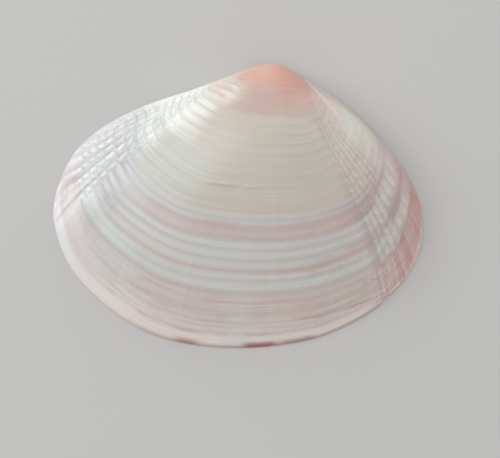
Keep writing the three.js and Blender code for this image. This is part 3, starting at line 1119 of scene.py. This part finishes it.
def makeShellGrain():
    outputs = [noise[0] for noise in shellNoises]
    group, given, result = makeGroup("shellGrain", (("Place", 0.0), ("Age", 0.5)), outputs)
    for label, placeScale, ageScale, detail in shellNoises:
        x = times(group, given.outputs["Place"], placeScale)
        y = times(group, given.outputs["Age"], ageScale)
        spot = addNode(group, "ShaderNodeCombineXYZ", {"X": x, "Y": y})
        inputs = {"Vector": spot.outputs[0], "Scale": 1.0, "Detail": detail, "Roughness": 0.6}
        noise = addNode(group, "ShaderNodeTexNoise", inputs, noise_dimensions="2D")
        group.links.new(noise.outputs[0], result.inputs[label])
    return group


def useGroup(tree, group, **inputs):
    return addNode(tree, "ShaderNodeGroup", inputs, node_tree=group).outputs


def zone(tree, value, start, end, softness):
    softBand = bpy.data.node_groups["softBand"]
    return useGroup(tree, softBand, Value=value, From=start, To=end, Softness=softness)[0]


def newMaterial(name, **settings):
    material = bpy.data.materials.new(name)
    material.use_nodes = True
    tree = material.node_tree
    shader = tree.nodes["Principled BSDF"]
    for key, value in settings.items():
        shader.inputs[key.replace("_", " ")].default_value = value
    return material, tree, shader


def dressShader(tree, shader, colour, rough, height, strength):
    bump = addNode(tree, "ShaderNodeBump", {"Strength": strength, "Distance": 0.05 * mm, "Height": height})
    tree.links.new(colour, shader.inputs["Base Color"])
    tree.links.new(rough, shader.inputs["Roughness"])
    tree.links.new(bump.outputs[0], shader.inputs["Normal"])


def growthPlace(tree):
    uv = addNode(tree, "ShaderNodeUVMap", uv_map="growthMap")
    apart = addNode(tree, "ShaderNodeSeparateXYZ", {0: uv.outputs[0]})
    return times(tree, apart.outputs[0], float(places)), apart.outputs[1]


def readSkin(tree, shellGrain):
    # everything that the marks of the outside go by, under one name each
    finish = outsideFinish
    place, age = growthPlace(tree)
    read = {"place": place, "age": age}
    grain = useGroup(tree, shellGrain, Place=place, Age=age)
    for noise in shellNoises:
        read[noise[0]] = grain[noise[0]]
    for name in ("bead", "groove"):
        read[name] = addNode(tree, "ShaderNodeAttribute", attribute_name=name).outputs["Fac"]
    wander = [centred(tree, read[name], share) for name, share in finish["wander"]]
    read["bandAge"] = maths(tree, "ADD", age, maths(tree, "ADD", *wander))
    read["blotch"] = remap(tree, read["Clouds"], *finish["blotch"])
    rearPlaces, rearAges = finish["outerRear"]
    read["outerRear"] = times(tree, zone(tree, age, *rearAges), zone(tree, place, *rearPlaces))
    return read


def addPatches(tree, read, colour):
    for name, placeZone, ageZone, share, *slant in patches:
        across = read["bandAge"]
        if slant:
            across = maths(tree, "SUBTRACT", across, times(tree, read["place"], slant[0]))
        mask = times(tree, zone(tree, read["place"], *placeZone), zone(tree, across, *ageZone), share)
        colour = mixPaint(tree, mask, colour, palette[name])
    return colour


def addMarks(tree, read, colour, marks):
    for name, share, shownBy, zones in marks:
        factors = [zone(tree, read[by], *span) if span else read[by] for by, *span in zones]
        shown = [remap(tree, read[by], low, high, 0.0, share) for by, low, high in shownBy]
        amount = share
        if shown:
            amount = shown[0] if len(shown) == 1 else maths(tree, "ADD", *shown)
        colour = mixPaint(tree, times(tree, *factors, amount), colour, palette[name])
    return colour


def makeOutside(shellGrain):
    finish = outsideFinish
    material, tree, shader = newMaterial("shellOutside", Coat_Weight=0.3, Coat_Roughness=0.2)
    read = readSkin(tree, shellGrain)
    place, age, bandAge = (read[name] for name in ("place", "age", "bandAge"))

    colour = addMarks(tree, read, bands(tree, bandAge, midBands), bandMarks)
    front = maths(tree, "ADD", *(zone(tree, place, *part) for part in finish["front"]))
    colour = mixPaint(tree, front, colour, bands(tree, bandAge, frontBands))
    rear = zone(tree, place, *finish["rear"])
    colour = mixPaint(tree, rear, colour, bands(tree, bandAge, rearBands))
    colour = addPatches(tree, read, colour)
    colour = addMarks(tree, read, colour, streakMarks)

    colour = shade(tree, colour, remap(tree, read["Lines"], *finish["lineShades"]))
    strength, placeZone, ageZone = finish["scales"]
    scaly = times(tree, zone(tree, place, *placeZone), zone(tree, age, *ageZone))
    scale = times(tree, centred(tree, read["Scales"], strength), scaly)
    colour = shade(tree, colour, maths(tree, "ADD", scale, 1.0))
    colour = addMarks(tree, read, colour, beadMarks)

    # painted shade in the grooves: grey on the front and plum elsewhere, fainter on the young front; in the
    # rest lines it is partly their own tint
    furrow = mixPaint(tree, zone(tree, place, *finish["shadowGreyGrooves"]), palette["plum"], palette["shadowGrey"])
    placeZone, ageZone = finish["youngFront"]
    young = times(tree, zone(tree, place, *placeZone), zone(tree, age, *ageZone), finish["youngLoss"])
    darkness = maths(tree, "SUBTRACT", finish["grooveShare"], young)
    colour = mixPaint(tree, times(tree, read["groove"], darkness), colour, furrow)
    colour = addMarks(tree, read, colour, edgeMarks)

    rough = remap(tree, read["Clouds"], 0, 1, *finish["roughness"])
    height = maths(tree, "ADD", *(times(tree, read[name], share) for name, share in finish["bumps"]))
    dressShader(tree, shader, colour, rough, height, finish["bump"])
    return material


def makeInside(shellGrain):
    material, tree, shader = newMaterial("shellInside", Coat_Weight=0.4, Coat_Roughness=0.12)
    place, growth = growthPlace(tree)
    clouds = useGroup(tree, shellGrain, Place=place, Age=growth)["Clouds"]
    finish = insideFinish
    warmShare, bumpShare = finish["clouds"]
    flush = times(tree, remap(tree, growth, *finish["blush"]), maths(tree, "ADD", clouds, warmShare))
    colour = mixPaint(tree, remap(tree, flush, 0, 1), palette["pearl"], palette["blush"])

    # two muscle scars, and the mantle line with its bay toward the rear
    spot = addNode(tree, "ShaderNodeTexCoord").outputs["Object"]

    def oval(name):
        x, y, width, height = finish[name]
        apart = vectors(tree, "SUBTRACT", spot, (x * mm, y * mm, 0))
        apart = vectors(tree, "MULTIPLY", apart, (1 / (width * mm), 1 / (height * mm), 0))
        far = addNode(tree, "ShaderNodeVectorMath", {0: apart}, operation="LENGTH").outputs["Value"]
        return maths(tree, "ADD", far, centred(tree, clouds, finish["waver"]))

    line = times(tree, zone(tree, growth, *finish["lineAt"]), zone(tree, place, *finish["linePlaces"]))
    within = zone(tree, growth, -1, finish["lineAt"][1], 0.01)
    bay = times(tree, zone(tree, oval("bay"), *finish["bayEdge"]), within)
    marks = times(tree, maths(tree, "MAXIMUM", line, bay), finish["lineShare"])
    for name in ("front", "rear"):
        marks = maths(tree, "MAXIMUM", marks, zone(tree, oval(name), -1, 1, finish["softness"]))
    colour = mixPaint(tree, times(tree, marks, finish["share"]), colour, palette["scar"])
    height = maths(tree, "SUBTRACT", times(tree, clouds, bumpShare), marks)
    rough = remap(tree, marks, 0, 1, *finish["roughness"])
    dressShader(tree, shader, colour, rough, height, finish["bump"])
    return material


shell = growSkin()
shift = fitInFrame(shell)
carveSkin(shell)
outerCount, rimPlaces = makeUnderside(shell, shift)
hollowGrowth = growHollow(shell, rimPlaces, shift)
mapGrowth(shell, outerCount, hollowGrowth)
makeSoftBand()
shellGrain = makeShellGrain()
outsideSkin, insideSkin = makeOutside(shellGrain), makeInside(shellGrain)
shell.data.materials.append(outsideSkin)
shell.data.materials.append(insideSkin)
print("skins painted:", len(outsideSkin.node_tree.nodes), "nodes outside")
fitHinge(shell, insideSkin, shift)
pick(shell)
bpy.ops.object.shade_smooth_by_angle(angle=math.radians(skinMesh["smoothAngle"]))
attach(shell, "root")
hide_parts("valve")

studio = {
    "floorSize": 3.0,
    "floorColour": (196, 195, 193),
    # soft lights, all aimed at the shell: spot, size, power
    "lights": {
        "keyLight": ((-0.2, 0.14, 0.42), 0.3, 0.4),
        "sideLight": ((-0.38, 0.12, 0.2), 0.2, 0.75),
        "windowLight": ((-0.21, 0.38, 0.1), 0.16, 0.3),
        "backLight": ((0.3, 0.25, 0.16), 0.3, 0.35),
        "fillLight": ((0.12, -0.35, 0.42), 0.6, 0.4),
    },
    "ambient": 0.5,
    "target": (1.19, -2.41, 0.0),  # mm
    "elevation": 78,
    "distance": 190,  # mm
    "sensor": 36,
    "lens": 1934 / 500 * 36,  # 1934 pixels across the photo's 500
}


def makeFloor():
    deselectAll()
    bpy.ops.mesh.primitive_plane_add(size=studio["floorSize"])
    floor = bpy.context.object
    floor.name = "floor"
    material, _, shader = newMaterial("paleFloor", Roughness=0.8)
    shader.inputs["Base Color"].default_value = paint(*studio["floorColour"])
    floor.data.materials.append(material)


def makeLights():
    for name, (spot, size, power) in studio["lights"].items():
        bpy.ops.object.light_add(type="AREA", location=spot)
        lamp = bpy.context.object
        lamp.name = name
        lamp.data.size = size
        lamp.data.energy = power
        lamp.rotation_euler = (-Vector(spot)).to_track_quat("-Z", "Y").to_euler()
    world = bpy.data.worlds.new("studio")
    world.use_nodes = True
    world.node_tree.nodes["Background"].inputs[0].default_value = (1, 1, 1, 1)
    world.node_tree.nodes["Background"].inputs[1].default_value = studio["ambient"]
    bpy.context.scene.world = world
    bpy.context.scene.view_settings.view_transform = "Standard"
    print("studio lit:", len(studio["lights"]), "lights")


def makeCamera():
    tilt = math.radians(studio["elevation"])
    back = Vector((0, -math.cos(tilt), math.sin(tilt)))
    target = Vector(studio["target"]) * mm
    bpy.ops.object.camera_add(location=target + back * studio["distance"] * mm)
    camera = bpy.context.object
    camera.rotation_euler = (-back).to_track_quat("-Z", "Y").to_euler()
    camera.data.lens = studio["lens"]
    camera.data.sensor_width = studio["sensor"]
    camera.data.clip_start = 0.001
    bpy.context.scene.camera = camera
    print("camera placed")


makeFloor()
makeLights()
makeCamera()
